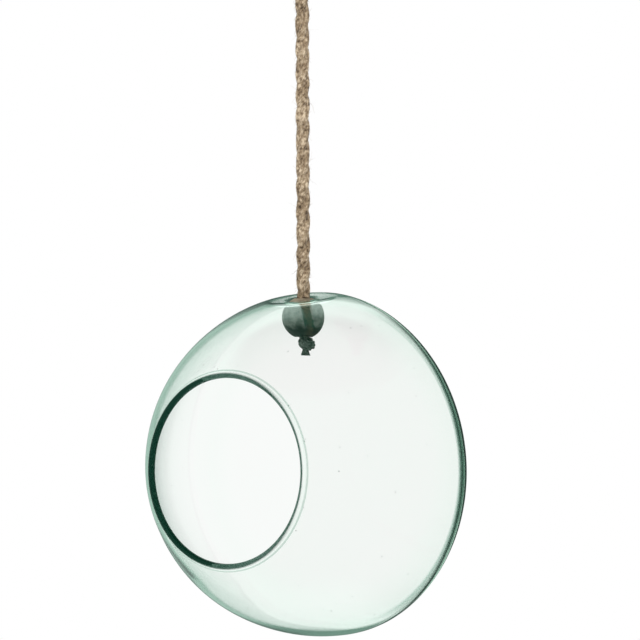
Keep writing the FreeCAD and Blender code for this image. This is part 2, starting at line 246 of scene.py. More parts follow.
def gridFaces(index, closedRows=False):
    # Four-cornered faces between the neighbours of a grid of vertex numbers, closed across
    rows = np.vstack([index, index[:1]]) if closedRows else index
    grid = np.hstack([rows, rows[:, :1]])
    return np.stack([grid[1:, :-1], grid[1:, 1:], grid[:-1, 1:], grid[:-1, :-1]], axis=-1).reshape(-1, 4)


def fanFaces(ring, centre):
    # Triangles from a ring of vertex numbers to one centre
    return np.stack([ring, np.roll(ring, -1), np.full(len(ring), centre)], axis=-1)


def numbered(rows, columns, start=0):
    # A grid of vertex numbers
    return start + np.arange(rows * columns).reshape(rows, columns)


def smoothStep(x):
    # A step from 0 to 1 without corners
    x = np.clip(x, 0.0, 1.0)
    return x * x * (3 - 2 * x)


def turns(count):
    # Angles that divide a whole turn evenly
    return np.arange(count) * 2 * math.pi / count


def spun(out, up, count):
    # Rows of points at distances out from the Z axis and heights up, turned round it
    swing = turns(count)
    return np.stack([np.outer(out, np.cos(swing)), np.outer(out, np.sin(swing)),
                     np.outer(up, np.ones(count))], axis=-1)


def unitRows(vectors):
    # The same vectors with length 1
    return vectors / np.linalg.norm(vectors, axis=-1, keepdims=True)


def square(vectors, directions):
    # The vectors less what lies along the directions
    return vectors - np.sum(vectors * directions, axis=-1, keepdims=True) * directions


# Blown glass. Places are taken from the ball's centre; the mouth's axis points to -Y, and angles
# round it start at the top.
glass = {
    "wall": 0.0032,
    "sideRadius": 0.120,  # arc of the side wall, in a plane through the mouth's axis
    "mouthRadius": 0.0596,  # to the middle of the lip
    "lipRadius": 0.0022,
    "lipSoftness": 0.0002,  # of the crease between the round lip and the wall
    "mouthShift": -0.0014,  # of the lip to the right
    "mouthStretch": 0.008,  # and sideways
    "mouthSkew": 0.016,
    "mouthReach": 0.034,  # how far from the lip these three fade out
    "cornerExtra": 0.0015,  # glass gathered inside the back's corner
    "cornerReach": 0.02,  # how far along the back it fades out
    "cornerLean": (88, 30),  # degrees from the back where it ends, and over which it fades out
    "holeAngle": 9.9,  # degrees from the widest circle towards the mouth
    "holeRadius": 0.0098,
    "dimpleDepth": 0.0029,
    "dimpleReach": 0.02065,
    "dimpleSoftness": 0.0006,
    "waves": 10,
    "waveLength": (0.06, 0.2),
    "waviness": 0.00004,  # of hand blowing
    "unevenWall": 0.7,  # of the wall's thickness, as a share of the waviness
    "evenLip": 0.02,  # how far from the lip the thickness is even
    "slump": 0.0022,  # how far the soft glass sagged to one side near the back
    "slumpSide": 36.8,  # degrees from +X towards the back
    "slumpStart": (-0.1, 0.6),  # where the sag sets in and over which width, in ball radii
    "columns": 360,
    "backRows": 19,
    "cornerRows": 14,
    "sideRows": (1, 24, 34, 16),  # past the corner, round the hole, plain, and near the lip
    "firstTurn": 0.006,  # of the side's first row
    "lipRows": 14,
    "patchColumns": 13,  # half the columns of the finer patch round the hole
    "patchRings": 25,
    "rimRings": 11,
    "bubbles": 90,
    "bubbleSize": (0.00014, 0.00036),
    "bubbleStretch": (1.0, 1.5),
    "bubbleGrid": (5, 8),  # rings and columns
    "bubbleLift": 0.0006,  # from the wall's middle
    "bubbleMargins": (4, 8),  # rows without any, next to the back's corner and at the lip
}

midRadius = glass["sideRadius"] - glass["wall"] / 2
sideDrop = glass["sideRadius"] - ballRadius  # the side arc's centre lies so far past the mouth's axis
lipTurn = math.acos((glass["mouthRadius"] + sideDrop) / midRadius)
holeTurn = math.radians(glass["holeAngle"])
holeAxis = np.array([0.0, -math.sin(holeTurn), math.cos(holeTurn)])
holeFront = np.array([0.0, -math.cos(holeTurn), -math.sin(holeTurn)])
holeSide = np.array([1.0, 0.0, 0.0])
holeFoot = np.array([0.0, 0.0, -sideDrop])
photoRight = (0.80, 0.60, 0.0)  # roughly, from the photograph's camera
photoFront = (0.60, -0.80, 0.0)

# Its tints. Slants run from 0, seen straight on, to 1. Two numbers are a ramp's ends, and four the
# ends of a rise and a fall.
tint = {
    "density": 100.0,
    "colour": colour(0.87, 0.985, 0.92),
    "ior": 1.5,
    "gleam": colour(0.25, 0.85, 0.60),
    "edge": colour(0.78, 0.92, 0.86),  # of the wall where it is seen at a slant
    "edgeSlant": (0.40, 0.95),
    "calm": 0.75,  # share of it that is taken away beside the back's corner
    "calmSide": (0.03, -0.01),
    "calmDepth": (-0.035, 0.020),
    "gatheredShade": colour(0.18, 0.32, 0.26),  # painted shade, on the side of the back where the glass gathered
    "gatheredShadeSide": (0.02, 0.06),
    "gatheredShadeDepth": (0.002, 0.008),  # behind the widest circle
    "gatheredShadeSlant": (0.30, 0.50),
    "darkLine": colour(0.030, 0.070, 0.052),  # painted shade: a dark line where that band ends
    "darkDepth": (-0.0050, -0.0028, 0.0036, 0.0016),
    "darkSlant": (0.12, 0.36, 0.80, 0.50),
    "lip": colour(0.006, 0.013, 0.010),  # painted shade of the thicker lip, where it is seen at a slant
    "lipSlant": (0.0, 0.18),
    "lipGlow": colour(0.002, 0.019, 0.011),  # painted glow, for light that the lip gathers from inside the wall
    "lipStart": (0.0948, 0.0958),  # in front of the ball's centre
    "lipInner": (0.0020, 0.0006),  # outwards from the lip's middle
    # Painted shade: a darker ring on the crease outside the lip
    "creaseShade": colour(0.40, 0.52, 0.46),
    "creaseShadeOut": (0.0020, 0.0025, 0.0034, 0.0029),
    "rimGlow": colour(0.06, 0.10, 0.08),  # painted glow, for light that the hole's rim gathers
    "rimReach": (0.0122, 0.0106),
    "dimpleHighlight": colour(0.32, 0.37, 0.35),  # painted highlight along the front of the dimple
    "highlightFront": (0.012, 0.019),
    "highlightReach": (0.0212, 0.0220, 0.0240, 0.0231),
}


def band(value, riseLow, riseHigh, fallHigh, fallLow):
    # 1 between a rise and a fall, 0 outside them
    return value.ramp(riseLow, riseHigh) * value.ramp(fallHigh, fallLow)


glassShader = Shader("blownGreenGlass")
slant = glassShader.add("LayerWeight", inputs={"Blend": 0.5}, output=1)
glassPlace = glassShader.coordinates("Object")
sideways, depth, rise = [glassShader.part(glassPlace, axis) for axis in range(3)]
plain = colour(1.0, 1.0, 1.0)
# The wall is greener where the sight line slants, but not suddenly beside the back's corner
calm = sideways.ramp(*tint["calmSide"]) * depth.ramp(*tint["calmDepth"]) * tint["calm"]
wallTint = glassShader.mix(slant.ramp(*tint["edgeSlant"]) * (1 - calm), plain, tint["edge"])
# Painted shade: the side of the back where the glass gathered is darker, with a painted dark line where it
# ends
oneSide = sideways.ramp(*tint["gatheredShadeSide"])
fromWidest = depth - ballCentre[1]
gatheredShade = oneSide * fromWidest.ramp(*tint["gatheredShadeDepth"]) * slant.ramp(*tint["gatheredShadeSlant"])
darkLine = oneSide * band(fromWidest, *tint["darkDepth"]) * band(slant, *tint["darkSlant"])
wallTint = glassShader.mix(gatheredShade, wallTint, tint["gatheredShade"])
wallTint = glassShader.mix(darkLine, wallTint, tint["darkLine"])
# Painted shade: the lip's inner half shows a painted dark line and the crease outside the lip a darker ring;
# painted glow: the whole lip a faint green glow
lipShare = depth.ramp(*[ballCentre[1] - start for start in tint["lipStart"]])
aside, above, skew = sideways - glass["mouthShift"], rise - ballCentre[2], glass["mouthSkew"]
aside, above = (1 - glass["mouthStretch"]) * aside - skew * above, above - skew * aside
lipDistance = (aside * aside + above * above) ** 0.5 - glass["mouthRadius"]
lipInside = lipShare * lipDistance.ramp(*tint["lipInner"])
creaseShade = lipShare * band(lipDistance, *tint["creaseShadeOut"])
wallTint = glassShader.mix(creaseShade, wallTint, tint["creaseShade"])
lipShade = glassShader.mix(slant.ramp(*tint["lipSlant"]), plain, tint["lip"])
# Painted glow on the hole's rim too, and a painted highlight along the front of the dimple
holeRim = ballCentre + holeFoot + holeAxis * (midRadius - glass["dimpleDepth"])
rimDistance = glassShader.add("VectorMath", {"operation": "DISTANCE"},
                              {0: glassPlace, 1: tuple(holeRim)}, output=1)
rimShare = rimDistance.ramp(*tint["rimReach"])
rimGlow = glassShader.mix(rimShare, colour(0.0, 0.0, 0.0), tint["rimGlow"])
dimpleFront = sideways * photoFront[0] + (depth - holeRim[1]) * photoFront[1]
dimpleHighlight = dimpleFront.ramp(*tint["highlightFront"]) * band(rimDistance, *tint["highlightReach"])
rimGlow = glassShader.mix(dimpleHighlight, rimGlow, tint["dimpleHighlight"])
glassShader.finish({
    "Base Color": glassShader.mix(lipInside, wallTint, lipShade), "Roughness": 0.0, "IOR": tint["ior"],
    "Specular Tint": tint["gleam"], "Transmission Weight": 1.0, "Emission Strength": 1.0,
    "Emission Color": glassShader.mix(lipShare, rimGlow, tint["lipGlow"]),
}, volume=glassShader.add("VolumeAbsorption", inputs={
    "Color": tint["colour"], "Density": tint["density"]}))


def wallLine():
    # Middle of the wall from the back's centre to the lip, as steps to the front, distances from
    # the axis and the outward normal's lean from the back's: a flat back, a rounded corner and the
    # side's long arc
    corner = cornerRadius - glass["wall"] / 2
    flat = np.linspace(0, ballRadius - cornerRadius, glass["backRows"] + 1)[1:]
    turn = np.linspace(0, math.pi / 2, glass["cornerRows"] + 1)[1:]
    patch = glass["patchColumns"] * 2 * math.pi / glass["columns"] * (ballRadius / midRadius)
    nearLip = lipTurn - 2 * glass["lipRadius"] / midRadius
    stops = [0.0, max(holeTurn - patch, glass["firstTurn"]), holeTurn + patch, nearLip, lipTurn]
    side = np.concatenate([np.linspace(start, end, count + 1)[1:]
                           for start, end, count in zip(stops, stops[1:], glass["sideRows"])])
    front = np.concatenate([np.full(len(flat), -corner), -corner * np.cos(turn), midRadius * np.sin(side)])
    out = np.concatenate([flat, ballRadius - cornerRadius + corner * np.sin(turn),
                          midRadius * np.cos(side) - sideDrop])
    return front, out, np.concatenate([np.zeros(len(flat)), turn, side + math.pi / 2])


waveVectors = rng.normal(size=(glass["waves"], 3))
waveNumbers = 2 * math.pi / rng.uniform(*glass["waveLength"], glass["waves"])
waveVectors *= (waveNumbers / np.linalg.norm(waveVectors, axis=1))[:, None]
wavePhases = rng.uniform(0, 2 * math.pi, (2, glass["waves"]))  # of the wall's middle and its thickness


def waves(points, phases):
    # Sum of long slanting waves in space
    return np.sin(points @ waveVectors.T + phases).sum(axis=-1) * glass["waviness"]


def sink(points):
    # How far the wall's middle lies outside the plain form: hand-blown waves, and a slump that
    # grows with the product of the distances aside and down, less the dimple, which is a parabola
    # of the distance from the hole's axis with a softened edge
    fromFoot = points - holeFoot
    along = fromFoot @ holeAxis
    aside = np.linalg.norm(fromFoot - along[..., None] * holeAxis, axis=-1)
    depth = glass["dimpleDepth"] * (1 - (aside / glass["dimpleReach"]) ** 2)
    dimple = 0.5 * (depth + np.sqrt(depth ** 2 + glass["dimpleSoftness"] ** 2))
    bearing = math.radians(glass["slumpSide"])
    aside = (points[..., 0] * math.cos(bearing) + points[..., 1] * math.sin(bearing)) / ballRadius
    start, width = glass["slumpStart"]
    slump = -glass["slump"] * aside * points[..., 2] / ballRadius * smoothStep((aside - start) / width)
    return waves(points, wavePhases[0]) + slump - np.where(along > midRadius / 2, dimple, 0.0)


def displaced(points, normals):
    # Moves the wall's middle along its normal and turns the normal with the slope of that move
    step = 2e-4
    slope = np.stack([(sink(points + step * axis) - sink(points - step * axis)) / (2 * step)
                      for axis in np.eye(3)], axis=-1)
    return points + sink(points)[..., None] * normals, unitRows(normals - square(slope, normals))


def onSideArc(radius, angle):
    # Points and normals of the plain wall's middle at distances from the hole's axis, found by
    # Newton steps along that axis: a normal is the way from the side arc's centre, in radii
    aside = radius[..., None] * (np.cos(angle)[..., None] * holeSide + np.sin(angle)[..., None] * holeFront)
    reach = np.full(radius.shape, midRadius)
    for attempt in range(9):
        points = holeFoot + aside + reach[..., None] * holeAxis
        out = np.hypot(points[..., 0], points[..., 2])[..., None]
        normals = points * (1 + sideDrop / out * [1, 0, 1]) / midRadius
        miss = np.sum(normals ** 2, axis=-1) - 1
        reach = reach - midRadius * miss / (2 * normals @ holeAxis)
    return points, normals


def edgeCap(middle, normals, outward, half, count):
    # A round edge: half circles of points from the outer wall over the edge to the inner wall
    swing = np.linspace(0, math.pi, count + 2)[1:-1, None, None]
    return middle + half * (np.cos(swing) * normals + np.sin(swing) * outward)


def bubbleShapes(middles, normals, tangents):
    # Small seeds drawn out along the wall, as closed grids that face inwards, because they are
    # holes in the glass
    count, (rings, columns) = len(middles), glass["bubbleGrid"]
    size = rng.uniform(*glass["bubbleSize"], count)[:, None]
    stretch = rng.uniform(*glass["bubbleStretch"], count)[:, None]
    polar = np.linspace(0, math.pi, rings + 2)[1:-1]
    unit = np.vstack([upAxis, spun(np.sin(polar), np.cos(polar), columns).reshape(-1, 3), -upAxis])
    across = np.cross(normals, tangents)
    axes = np.stack([across * size, tangents * size * stretch, normals * size], axis=1)
    points = middles[:, None, :] + np.einsum("vk,bkc->bvc", unit, axes)
    grid = numbered(rings, columns, 1)
    quads = gridFaces(grid)
    caps = np.vstack([fanFaces(grid[0], 0), fanFaces(grid[-1], len(unit) - 1)[:, [1, 0, 2]]])
    start = (np.arange(count) * len(unit))[:, None, None]
    return points.reshape(-1, 3), (quads[None] + start).reshape(-1, 4), (caps[None] + start).reshape(-1, 3)


def aroundMouth(out, front):
    # Rows of points or directions turned round the mouth's axis, from the top
    return spun(out, np.negative(front), glass["columns"])[..., [1, 2, 0]]


def mouthMoved(base, middle, fromLip):
    # The wall's middle with the mouth shifted, stretched and skewed
    share = smoothStep(1 - fromLip / glass["mouthReach"])[:, None]
    aside, rise, skew = base[..., 0], base[..., 2], glass["mouthSkew"]
    middle[..., 0] += share * (glass["mouthShift"] + glass["mouthStretch"] * aside + skew * rise)
    middle[..., 2] += share * skew * aside
    return middle


def wallHalves(base, out, lean, fromLip):
    # Half the wall's thickness, with a round lip and hand-blown unevenness, and the extra glass
    # inside the back's corner
    lipRound = np.sqrt(np.clip(glass["lipRadius"] ** 2 - fromLip ** 2, 0, None))
    over = lipRound - glass["wall"] / 2
    half = glass["wall"] / 2 + 0.5 * (over + np.sqrt(over ** 2 + glass["lipSoftness"] ** 2))
    fade = smoothStep(fromLip / glass["evenLip"])
    half = half[:, None] + waves(base, wavePhases[1]) * glass["unevenWall"] * fade[:, None]
    end, width = glass["cornerLean"]
    nearCorner = smoothStep((out - ballRadius + cornerRadius) / glass["cornerReach"] + 1)
    return half, glass["cornerExtra"] * nearCorner * smoothStep((end - np.degrees(lean)) / width)


def blowBall():
    # The outer and inner walls are the middle plus and minus half the thickness along its normal,
    # on a grid of rows from the back's centre to the lip; a patch of the grid is replaced by
    # rings that close in on the rope's hole
    front, out, lean = wallLine()
    rows, columns = len(front), glass["columns"]
    base = aroundMouth(out, front)
    middle, turned = displaced(base, aroundMouth(np.sin(lean), -np.cos(lean)))
    run = np.concatenate([[0], np.cumsum(np.hypot(np.diff(front), np.diff(out)))])
    fromLip = run[-1] - run
    middle = mouthMoved(base, middle, fromLip)
    half, extra = wallHalves(base, out, lean, fromLip)
    outer = middle + half[..., None] * turned
    inner = middle - (half + extra[:, None])[..., None] * turned
    onward = aroundMouth([-math.sin(lipTurn)], [math.cos(lipTurn)])[0]
    lip = edgeCap(middle[-1], turned[-1], onward, half[-1][:, None], glass["lipRows"])

    # Numbers of the points: both back centres first, then the walls' grid with the lip between them
    wholeGrid = np.concatenate([outer, lip, inner[::-1]])
    gridIndex = numbered(len(wholeGrid), columns, 2)
    poleMiddle, poleTurned = displaced(np.array([[0.0, -front[0], 0.0]]), np.array([[0.0, 1.0, 0.0]]))
    poles = np.vstack([poleMiddle + half[0].mean() * poleTurned, poleMiddle - half[0].mean() * poleTurned])

    # The rim of a rectangle of the grid round the hole, as rows and columns in order
    reach, holeRows = glass["patchColumns"], glass["sideRows"][1]
    top = glass["backRows"] + glass["cornerRows"]
    bottom = top + holeRows
    across = np.arange(-reach, reach + 1)
    down = np.arange(top, bottom + 1)
    rimRows = np.concatenate([np.full(2 * reach, top), down[:-1], np.full(2 * reach, bottom), down[:0:-1]])
    rimColumns = np.concatenate([across[:-1], np.full(holeRows, reach),
                                 across[:0:-1], np.full(holeRows, -reach)]) % columns
    fromFoot = base[rimRows, rimColumns] - holeFoot
    sidePart, frontPart = fromFoot @ holeSide, fromFoot @ holeFront
    rimRadius, rimAngle = np.hypot(sidePart, frontPart), np.arctan2(frontPart, sidePart)
    edgeHalf = glass["wall"] / 2
    steps = np.linspace(0, 1, glass["patchRings"] + 1)[1:, None]
    radius = rimRadius + (glass["holeRadius"] + edgeHalf - rimRadius) * steps
    angle = np.broadcast_to(rimAngle, radius.shape)
    patchMiddle, patchTurned = displaced(*onSideArc(radius, angle))
    patchHalf = (edgeHalf + (half[rimRows, rimColumns] - edgeHalf) * (1 - steps))[..., None]
    patchOuter, patchInner = patchMiddle + patchHalf * patchTurned, patchMiddle - patchHalf * patchTurned
    radial = np.cos(rimAngle)[:, None] * holeSide + np.sin(rimAngle)[:, None] * holeFront
    radial = unitRows(square(radial, patchTurned[-1]))
    rim = edgeCap(patchMiddle[-1], patchTurned[-1], -radial, edgeHalf, glass["rimRings"])
    patchGrid = np.concatenate([patchOuter, rim, patchInner[::-1]])
    lastRow = len(wholeGrid) - 1
    patchIndex = numbered(len(patchGrid), len(rimRows), 2 + wholeGrid[..., 0].size)
    seedStart = patchIndex[-1, -1] + 1
    patchIndex = np.vstack([gridIndex[rimRows, rimColumns], patchIndex,
                            gridIndex[lastRow - rimRows, rimColumns]])
    keep = np.ones((lastRow, columns), bool)
    for first, last in ((top, bottom), (lastRow - bottom, lastRow - top)):
        keep[first:last, np.arange(-reach, reach) % columns] = False
    fans = np.vstack([fanFaces(gridIndex[0], 0), fanFaces(gridIndex[-1], 1)[:, [1, 0, 2]]])

    # Bubbles, away from the back and the lip
    count, (fromCorner, fromEdge) = glass["bubbles"], glass["bubbleMargins"]
    picked = rng.integers(top + fromCorner, rows - fromEdge, count), rng.integers(0, columns, count)
    lift = rng.uniform(-glass["bubbleLift"], glass["bubbleLift"], count)[:, None]
    along = unitRows(middle[picked[0] + 1, picked[1]] - middle[picked])
    seeds, seedQuads, seedCaps = bubbleShapes(middle[picked] + lift * turned[picked], turned[picked], along)

    points = np.vstack([poles, wholeGrid.reshape(-1, 3), patchGrid.reshape(-1, 3), seeds]) + ballCentre
    faces = [gridFaces(gridIndex)[keep.ravel()], gridFaces(patchIndex), fans,
             seedQuads + seedStart, seedCaps + seedStart]
    return newMesh("glassBall", glassShader.block, points, faces)


ball = blowBall()
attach(ball, "root")
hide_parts("glass_ball")
print("glass ball blown")


# Hanging rope: three laid strands that follow the route's spline, from inside the bead up to the
# loop at the top and back down into the loop's knot
rope = {
    "diameter": 0.008,
    "width": 0.0088,  # over the loose strands
    "strand": 0.0049,
    "lay": 0.0440,  # length of one whole turn of a strand
    "step": 0.0006,
    "around": 30,
    "yarns": 7,
}
# Unevenness of every rope and cord: how long a swing is and how far it goes
uneven = {
    "turn": (0.030, 0.09),
    "reach": (0.021, 0.05),
    "yarn": (0.016, 0.35),
    "swell": (0.013, 0.035),
    "yarnLay": 0.42,  # of the strand's lay
    "yarnRelief": 0.085,  # of the strand's half width
    "sines": 5,
    "sineSpread": (0.6, 1.6),  # of their lengths
    "sineSum": 2.2,
    "taperReach": 0.006,
}
ropeRoute = [
    (0.0, 0.0, -0.3152), (0.0, 0.0, -0.1405), (0.0, 0.0, -0.1145), (0.0042, 0.0, -0.0885),
    (0.0042, 0.0, -0.066), (0.0308, 0.0, -0.0305), (0.0242, 0.0, -0.0046), (0.0, 0.0, 0.0067),
    (-0.0242, 0.0, -0.0046), (-0.0308, 0.0, -0.0305), (-0.0042, 0.0, -0.066), (-0.0042, 0.0, -0.0885),
    (-0.0040, 0.0, -0.1040),
]
acrossRope = np.array([0.0, 1.0, 0.0])


def splinePoints(route):
    # Points that Blender gives for the smooth spline whose control points are the route's
    curve = bpy.data.curves.new("ropeRoute", "CURVE")
    curve.dimensions = "3D"
    curve.resolution_u = 24
    spline = curve.splines.new("NURBS")
    spline.points.add(len(route) - 1)
    spline.points.foreach_set("co", np.hstack([np.array(route), np.ones((len(route), 1))]).ravel())
    spline.order_u = 3
    spline.use_endpoint_u = True
    holder = bpy.data.objects.new("ropeRoute", curve)
    scene.collection.objects.link(holder)
    mesh = bpy.data.meshes.new_from_object(holder)
    points = np.empty(3 * len(mesh.vertices))
    mesh.vertices.foreach_get("co", points)
    bpy.data.meshes.remove(mesh)
    bpy.data.objects.remove(holder)
    bpy.data.curves.remove(curve)
    return points.reshape(-1, 3)


def between(at, run, points):
    # Points of a line at other distances along it
    return np.stack([np.interp(at, run, points[:, axis]) for axis in range(3)], axis=-1)


def evenly(points, step):
    # The same line with points at even distances along it
    run = np.concatenate([[0], np.cumsum(np.linalg.norm(np.diff(points, axis=0), axis=1))])
    count = max(int(round(run[-1] / step)), 2)
    at = np.linspace(0, run[-1], count + 1)
    return between(at, run, points), at


def frames(points, reference):
    # Two directions across a line at each of its points, from one reference direction for each
    along = unitRows(np.gradient(points, axis=0))
    second = unitRows(square(reference, along))
    return np.cross(second, along), second


def circles(first, second, count):
    # Directions round each point of a line
    swing = turns(count)[None, :, None]
    return np.cos(swing) * first[:, None, :] + np.sin(swing) * second[:, None, :]


def drift(at, length, amount):
    # Slow uneven change along a line: a sum of sines that don't repeat together
    swings = rng.uniform(*uneven["sineSpread"], uneven["sines"]) * 2 * math.pi / length
    phases = rng.uniform(0, 2 * math.pi, uneven["sines"])
    return amount * np.sin(np.outer(at, swings) + phases).sum(axis=1) / uneven["sineSum"]


def strandPoints(centre, at, first, second, sizes, turn, taper):
    # One strand: a helix round the line, with a cross-section of twisted yarns that goes along it
    angle = 2 * math.pi * at / sizes["lay"] + turn + drift(at, *uneven["turn"])
    reach = (sizes["width"] - sizes["strand"]) / 2 * (1 + drift(at, *uneven["reach"])) * taper
    outward = np.cos(angle)[:, None] * first + np.sin(angle)[:, None] * second
    middle = centre + reach[:, None] * outward
    heading = unitRows(np.gradient(middle, axis=0))
    outward = unitRows(square(outward, heading))
    yarnTurn = 2 * math.pi * at / (sizes["lay"] * uneven["yarnLay"])
    yarn = turns(sizes["around"])[None, :] - yarnTurn[:, None] + drift(at, *uneven["yarn"])[:, None]
    relief = np.abs(np.cos(sizes["yarns"] / 2 * yarn)) - 0.64  # less about its mean
    swell = 1 + uneven["yarnRelief"] * relief + drift(at, *uneven["swell"])[:, None]
    half = (sizes["strand"] / 2 * taper)[:, None] * swell
    ring = circles(outward, np.cross(heading, outward), sizes["around"])
    return middle[:, None, :] + half[..., None] * ring


def closedTubes(tubes):
    # Tubes as grids of points, one after another, with a point that closes each end; the UVs go
    # round each tube and along it in metres
    points, uvs, quads, caps, start = [], [], [], [], 0
    for tube, at in tubes:
        rows, around = tube.shape[:2]
        index = numbered(rows, around, start)
        points += [tube.reshape(-1, 3), np.stack([tube[0].mean(axis=0), tube[-1].mean(axis=0)])]
        uv = np.stack(np.broadcast_arrays(np.arange(around)[None, :] / around, at[:, None]), axis=-1)
        uvs += [uv.reshape(-1, 2), np.array([[0.5, at[0]], [0.5, at[-1]]])]
        quads.append(gridFaces(index[::-1]))
        start += rows * around + 2
        caps += [fanFaces(index[0], start - 2)[:, [1, 0, 2]], fanFaces(index[-1], start - 1)]
    return np.vstack(points), [np.vstack(quads), np.vstack(caps)], np.vstack(uvs)


def layRope(line, reference, sizes, tapers=(1.0, 1.0)):
    # Three strands laid along a line, thinner towards an end where a taper is under 1
    centre, at = evenly(line, sizes["step"])
    reference = between(np.linspace(0, 1, len(centre)), np.linspace(0, 1, len(reference)), reference)
    first, second = frames(centre, reference)
    reach = uneven["taperReach"]
    taper = np.minimum(smoothStep(at / reach) * (1 - tapers[0]) + tapers[0],
                       smoothStep((at[-1] - at) / reach) * (1 - tapers[1]) + tapers[1])
    return [(strandPoints(centre, at, first, second, sizes, turn, taper), at) for turn in turns(3)]


# Loose fibres, of the rope and its wound knot together
fuzz = {
    "fibres": 4200,
    "width": 0.00020,
    "thickness": (0.6, 1.3),  # of one fibre, as a share of the width
    "tip": 0.75,  # share of its thickness that a fibre loses
    "longest": 0.0075,
    "shortest": 0.25,  # of the longest
    "shortPower": 2.2,  # the higher, the more short ones
    "lift": 0.50,  # off the strand, as a share of the length
    "liftPower": 3,  # the higher, the fewer stand off
    "liftBend": 1.6,
    "sway": 0.35,
    "curl": 0.10,
    "curlTurns": 0.75,
    "rooted": 0.00025,  # into the strand
    "ahead": 2,  # rows of a strand over which its way is taken
    "grid": (7, 3),  # points along a fibre and sides
}


def fibreTubes(tubes):
    # Thin curved tubes that leave the strands' surface along the lay, either way, and lift away
    # from it, pointed at the tip
    count, ahead, (rows, sides) = fuzz["fibres"], fuzz["ahead"], fuzz["grid"]
    sizes = np.array([tube.shape[0] for tube, at in tubes])
    which = rng.choice(len(tubes), count, p=sizes / sizes.sum())
    starts, headings, outwards = np.empty((3, count, 3))
    for number, (tube, at) in enumerate(tubes):
        chosen = which == number
        spots = tuple(rng.integers(low, high, chosen.sum())
                      for low, high in ((ahead, tube.shape[0] - 2 * ahead), (0, tube.shape[1])))
        starts[chosen] = tube[spots]
        headings[chosen] = tube[spots[0] + ahead, spots[1]] - tube[spots]
        outwards[chosen] = tube[spots] - tube.mean(axis=1)[spots[0]]
    headings, outwards = unitRows(headings), unitRows(outwards)
    asides = np.cross(headings, outwards)
    backwards = rng.uniform(size=count) >= 0.5
    headings = headings * np.where(backwards, -1, 1)[:, None]
    length = fuzz["longest"] * rng.uniform(fuzz["shortest"], 1.0, count)[:, None] ** fuzz["shortPower"]
    lift = fuzz["lift"] * rng.uniform(0, 1, count)[:, None] ** fuzz["liftPower"] * length
    sway = rng.normal(0, fuzz["sway"], count)[:, None] * length
    curl = rng.normal(0, fuzz["curl"], count)[:, None] * length
    steps = np.linspace(0, 1, rows)
    rise = lift * steps ** fuzz["liftBend"] + curl * np.sin(2 * math.pi * fuzz["curlTurns"] * steps)
    rise = rise - fuzz["rooted"]
    line = (starts[:, None, :] + (length * steps)[..., None] * headings[:, None, :]
            + rise[..., None] * outwards[:, None, :] + (sway * steps ** 2)[..., None] * asides[:, None, :])
    thick = fuzz["width"] / 2 * rng.uniform(*fuzz["thickness"], count)[:, None] * (1 - fuzz["tip"] * steps)
    points = line[:, :, None, :] + thick[..., None, None] * circles(outwards, asides, sides)[:, None]
    grid = numbered(rows, sides)
    start = numbered(count, 1)[..., None] * grid.size
    quads = gridFaces(grid)[:, ::-1] + start
    caps = np.stack([grid[0, ::-1], grid[-1]]) + start
    quads[backwards] = quads[backwards][..., ::-1]
    caps[backwards] = caps[backwards][..., ::-1]
    # Each fibre has one spot of the pattern, and so one tone
    uv = np.stack([rng.uniform(0, 1, count), rng.uniform(0, 1, count)], axis=-1)
    uv = np.repeat(uv, rows * sides, axis=0)
    return points.reshape(-1, 3), [quads.reshape(-1, 4), caps.reshape(-1, 3)], uv


jute = {
    "light": colour(0.800, 0.650, 0.470),
    "middle": colour(0.360, 0.258, 0.160),
    "dark": colour(0.068, 0.042, 0.024),
    "fibreScale": (34.0, 420.0, 1.0),  # round a strand and along it
    "patchScale": 450.0,
    "broadScale": 90.0,
    "toneShares": (0.45, 0.50, 0.25),  # of the fibres, the patches and the broad patches
    "darkTone": (0.47, 0.60),
    "lightTone": (0.59, 0.72),
    "bump": (0.8, 0.0007),  # strength and distance
    "bumpPatches": 0.5,  # share of the patches in it
}
juteShader = Shader("juteRope")
juteSpace = juteShader.coordinates("Object")
fibreSpace = juteShader.stretched(juteShader.coordinates("UV"), jute["fibreScale"])
fibreNoise = juteShader.noise(fibreSpace, 1.0, 3.0)
patchNoise = juteShader.noise(juteSpace, jute["patchScale"], 3.0)
broadNoise = juteShader.noise(juteSpace, jute["broadScale"], 2.0)
fibreShare, patchShare, broadShare = jute["toneShares"]
juteTone = fibreNoise * fibreShare + patchNoise * patchShare + broadNoise * broadShare
juteColour = juteShader.mix(juteTone.ramp(*jute["darkTone"]), jute["dark"], jute["middle"])
juteColour = juteShader.mix(juteTone.ramp(*jute["lightTone"]), juteColour, jute["light"])
juteHeight = fibreNoise + patchNoise * jute["bumpPatches"]
juteShader.finish({
    "Base Color": juteColour, "Roughness": 0.85, "Sheen Weight": 0.25, "Sheen Roughness": 0.5,
    "Specular IOR Level": 0.2, "Normal": juteShader.bump(juteHeight, *jute["bump"])})

ropeLine = splinePoints(ropeRoute)
ropeTubes = layRope(ropeLine, acrossRope[None], rope)
hangingRope = newMesh("hangingRope", juteShader.block, *closedTubes(ropeTubes))
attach(hangingRope, "root")
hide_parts("hanging_rope", "rope_eye")
print("rope laid")

# Loop's knot: the rope's end wound round both legs of the loop and tucked under its own turns
wraps = {
    "turns": 2.45,
    "half": 0.0042,  # each leg beside the knot's middle
    "round": 0.0080,  # radius of the turns' ends, at the middle of the rope
    "low": -0.1103,
    "high": -0.0927,
    "width": 0.0076,
    "strand": 0.0035,
    "around": 24,
    "tuck": 0.58,  # how far both ends are drawn in between the legs, as a share
    "tuckTurn": 0.22,  # and over which share of a turn
    "unevenHeight": (0.9, 0.0004),
    "tapers": (0.85, 0.85),
    "points": 700,
}


